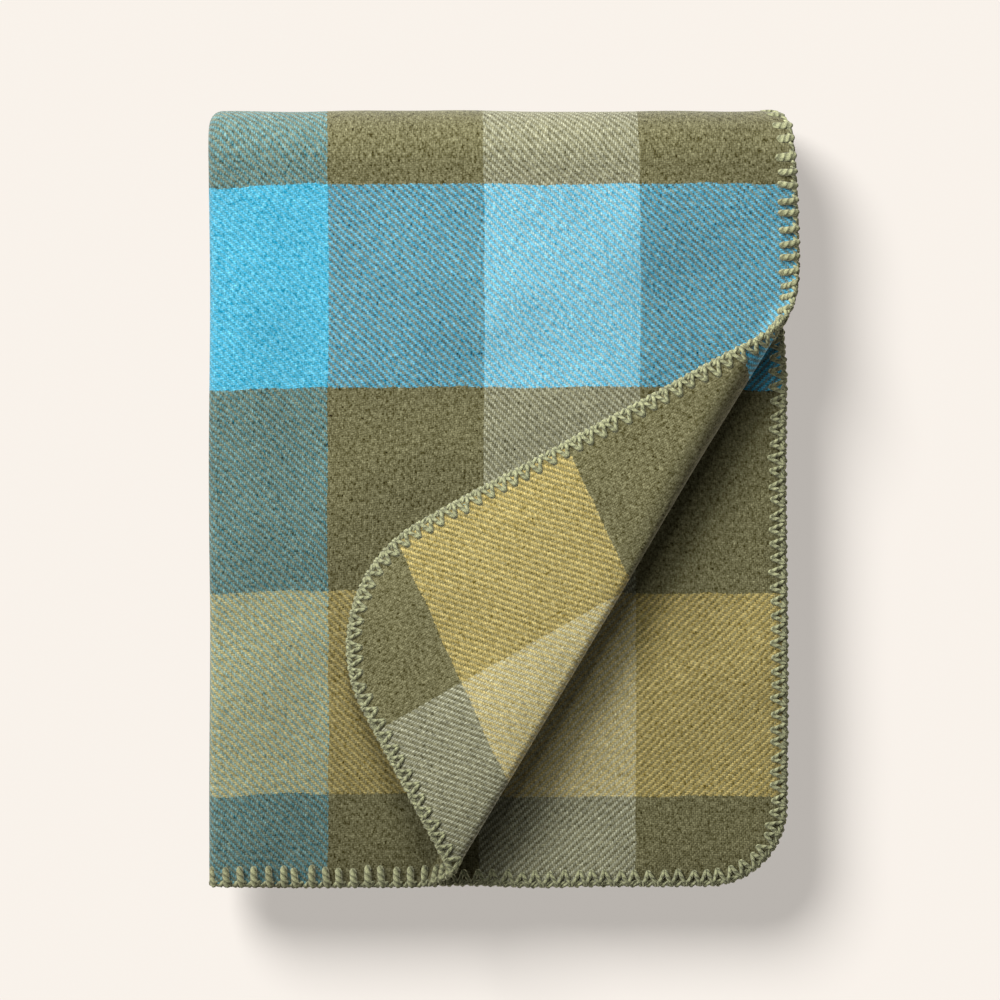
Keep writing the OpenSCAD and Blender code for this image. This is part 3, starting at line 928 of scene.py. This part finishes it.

# How the halves' pieces move: each follows its half's body. The fold pieces are baked in place.
for name in ("cloth.quarter1", "cloth.quarter2", "edging.quarter1", "edging.quarter2"):
    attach(bpy.data.objects[name], "upper_half")
for name in ("cloth.lowerHalf", "edging.lowerHalf"):
    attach(bpy.data.objects[name], "lower_half")
foldRadius = {}
for leaf in (1, 2, 3, 4):
    foldRadius[f"outerFold{leaf}"] = (8.5 - leaf) * pitch
    foldRadius[f"innerFold{leaf}"] = (leaf - 0.5) * pitch
for name, r in foldRadius.items():
    for kind in ("cloth", "edging"):
        obj = bpy.data.objects.get(f"{kind}.{name}")
        if obj:
            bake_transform(obj)

# The turned corner's pieces are baked in place
past, acrossProfile, upProfile, _ = roundRoll
for name in ("cloth.turnedCorner", "edging.turnedCorner"):
    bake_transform(bpy.data.objects[name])

# Each piece's flat size
for name, (obj, size, area) in clothPieces.items():
    if name in foldRadius:  # each layer of a fold has its own length
        straight = 2 * innerPast if "inner" in name else 0
        size = (size[0], math.pi * foldRadius[name] + straight)
        area = size[0] * size[1]
    print(f"{name}: flat {size[0]:.3f} x {size[1]:.3f} m, area {area:.4f} m2")

# The studio: a pale floor, lit apart from the blanket, whose light comes mostly from the upper left
studio = {
    "floorColour": (0.80, 0.752, 0.700), "distance": 6.0, "viewWidth": 0.555,
    "aim": (-0.0014, -0.0018), "keyFrom": (-0.57, 0.70, 0.91),
    "keySpread": 28.0, "fillSpread": 60, "sideSpread": 30,  # degrees
    "topKeySize": 0.30, "overheadSize": 0.10,
    "floorKey": 2.58, "floorFill": 1.75, "world": 0.045,
    "topKey": 3.95, "topKeyFrom": (-0.10, 0.60, 0.45), "sideKey": 2.20,
    "sideKeyFrom": (-0.80, 0.34, 0.60), "overhead": 0.20, "overheadFrom": (-0.04, 0.03, 0.335),
}


def floorMaterial():
    material = bpy.data.materials.new("pale studio floor")
    material.use_nodes = True
    surface = material.node_tree.nodes["Principled BSDF"]
    surface.inputs["Base Color"].default_value = (*studio["floorColour"], 1)
    surface.inputs["Roughness"].default_value = 0.95
    surface.inputs["Specular IOR Level"].default_value = 0.0
    return material


bpy.ops.mesh.primitive_plane_add(size=30, location=(0, 0, 0))
floor = bpy.context.object
floor.name = "floor"
floor.data.materials.append(floorMaterial())
floor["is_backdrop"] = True


def onlyOn(light, name, objects):
    group = bpy.data.collections.new(name)
    for obj in objects:
        group.objects.link(obj)
    light.light_linking.receiver_collection = group


def addLight(name, kind, energy, place, aim, size):
    data = bpy.data.lights.new(name, kind)
    data.energy = energy
    light = bpy.data.objects.new(name, data)
    scene.collection.objects.link(light)
    light.location = place
    light.rotation_euler = (Vector(aim) - Vector(place)).to_track_quat("-Z", "Y").to_euler()
    if kind == "SUN":
        data.angle = math.radians(size)
    else:
        data.size = size
    return light


keyFrom = Vector(studio["keyFrom"])
floorKey = addLight("floor key", "SUN", studio["floorKey"], keyFrom * 2, (0, 0, 0),
                    studio["keySpread"])
floorFill = addLight("floor fill", "SUN", studio["floorFill"], (0, 0, 3), (0, 0, 0),
                     studio["fillSpread"])
floorFill.data.use_shadow = False
topKey = addLight("top key", "AREA", studio["topKey"], studio["topKeyFrom"], (0, 0, topZ),
                  studio["topKeySize"])
sideKey = addLight("side key", "SUN", studio["sideKey"], studio["sideKeyFrom"], (0, 0, 0),
                   studio["sideSpread"])
overhead = addLight("overhead", "AREA", studio["overhead"], studio["overheadFrom"], (0, 0, topZ),
                    studio["overheadSize"])
onlyOn(floorKey, "floor only", [floor])
onlyOn(floorFill, "floor only too", [floor])
onlyOn(topKey, "cloth only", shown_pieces())
onlyOn(sideKey, "cloth only too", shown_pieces())
onlyOn(overhead, "cloth only again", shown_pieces())

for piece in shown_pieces():
    piece.visible_diffuse = False  # no tint on the floor, and a deep shadow under the roll

world = bpy.data.worlds.new("studio")
world.use_nodes = True
world.node_tree.nodes["Background"].inputs[0].default_value = (1.0, 0.98, 0.95, 1)
world.node_tree.nodes["Background"].inputs[1].default_value = studio["world"]
scene.world = world

camera = bpy.data.objects.new("camera", bpy.data.cameras.new("camera"))
scene.collection.objects.link(camera)
camera.location = (*studio["aim"], topZ + studio["distance"])
camera.data.sensor_width = 36
camera.data.lens = 36 * studio["distance"] / studio["viewWidth"]
camera.data.clip_end = 50
scene.camera = camera
print("studio set")
